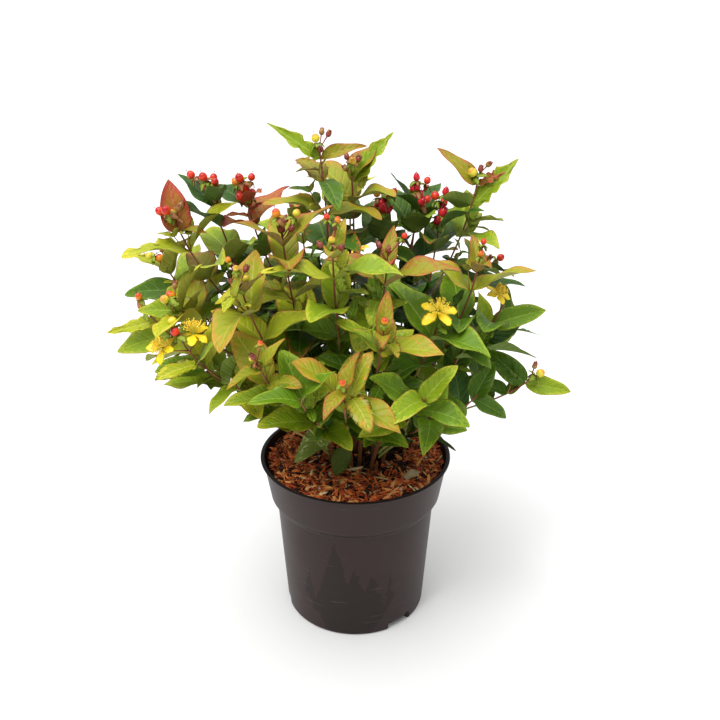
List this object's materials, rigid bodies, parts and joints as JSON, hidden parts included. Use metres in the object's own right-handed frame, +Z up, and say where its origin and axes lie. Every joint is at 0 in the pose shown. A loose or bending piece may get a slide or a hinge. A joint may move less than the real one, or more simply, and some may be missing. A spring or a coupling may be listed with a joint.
{
  "type": "potted st johns wort",
  "caption": "Bushy berrying shrub with paired oval leaves, small yellow flowers and berries, rooted in a dark round nursery pot topped with bark mulch.",
  "frame": {"origin": "centre of the pot's flat underside, which stands on the ground", "axes": "+Z up along the pot's axis, -Y towards the side the picture shows, +X to that viewer's right"},
  "size_m": [0.4284, 0.4071, 0.4865],
  "materials": {
    "pot_plastic": "matt black-brown polypropylene",
    "bark_mulch": "rough shredded bark",
    "woody_stem": "fine brown bark",
    "foliage": "soft leaves, satin on top"
  },
  "bodies": {
    "root": {"pot": "pot_plastic", "growing_medium": "bark_mulch", "cane_01": "woody_stem", "cane_02": "woody_stem", "cane_03": "woody_stem", "cane_04": "woody_stem", "cane_05": "woody_stem", "cane_06": "woody_stem", "cane_07": "woody_stem", "cane_08": "woody_stem", "cane_09": "woody_stem", "cane_10": "woody_stem", "cane_11": "woody_stem", "cane_12": "woody_stem", "cane_13": "woody_stem", "cane_14": "woody_stem", "shoot_01": "foliage", "shoot_02": "foliage", "shoot_03": "foliage", "shoot_04": "foliage", "shoot_05": "foliage", "shoot_06": "foliage", "shoot_07": "foliage", "shoot_08": "foliage", "shoot_09": "foliage", "shoot_10": "foliage", "shoot_11": "foliage", "shoot_12": "foliage", "shoot_13": "foliage", "shoot_14": "foliage", "shoot_15": "foliage", "shoot_16": "foliage", "shoot_17": "foliage", "shoot_18": "foliage", "shoot_19": "foliage", "shoot_20": "foliage", "shoot_21": "foliage", "shoot_22": "foliage", "shoot_23": "foliage", "shoot_24": "foliage", "shoot_25": "foliage", "shoot_26": "foliage", "shoot_27": "foliage", "shoot_28": "foliage", "shoot_29": "foliage", "shoot_30": "foliage", "shoot_31": "foliage", "shoot_32": "foliage", "shoot_33": "foliage", "shoot_34": "foliage", "shoot_35": "foliage", "shoot_36": "foliage", "shoot_37": "foliage", "shoot_38": "foliage", "shoot_39": "foliage", "shoot_40": "foliage", "shoot_41": "foliage", "shoot_42": "foliage", "shoot_43": "foliage", "shoot_44": "foliage"}
  },
  "joints": []
}
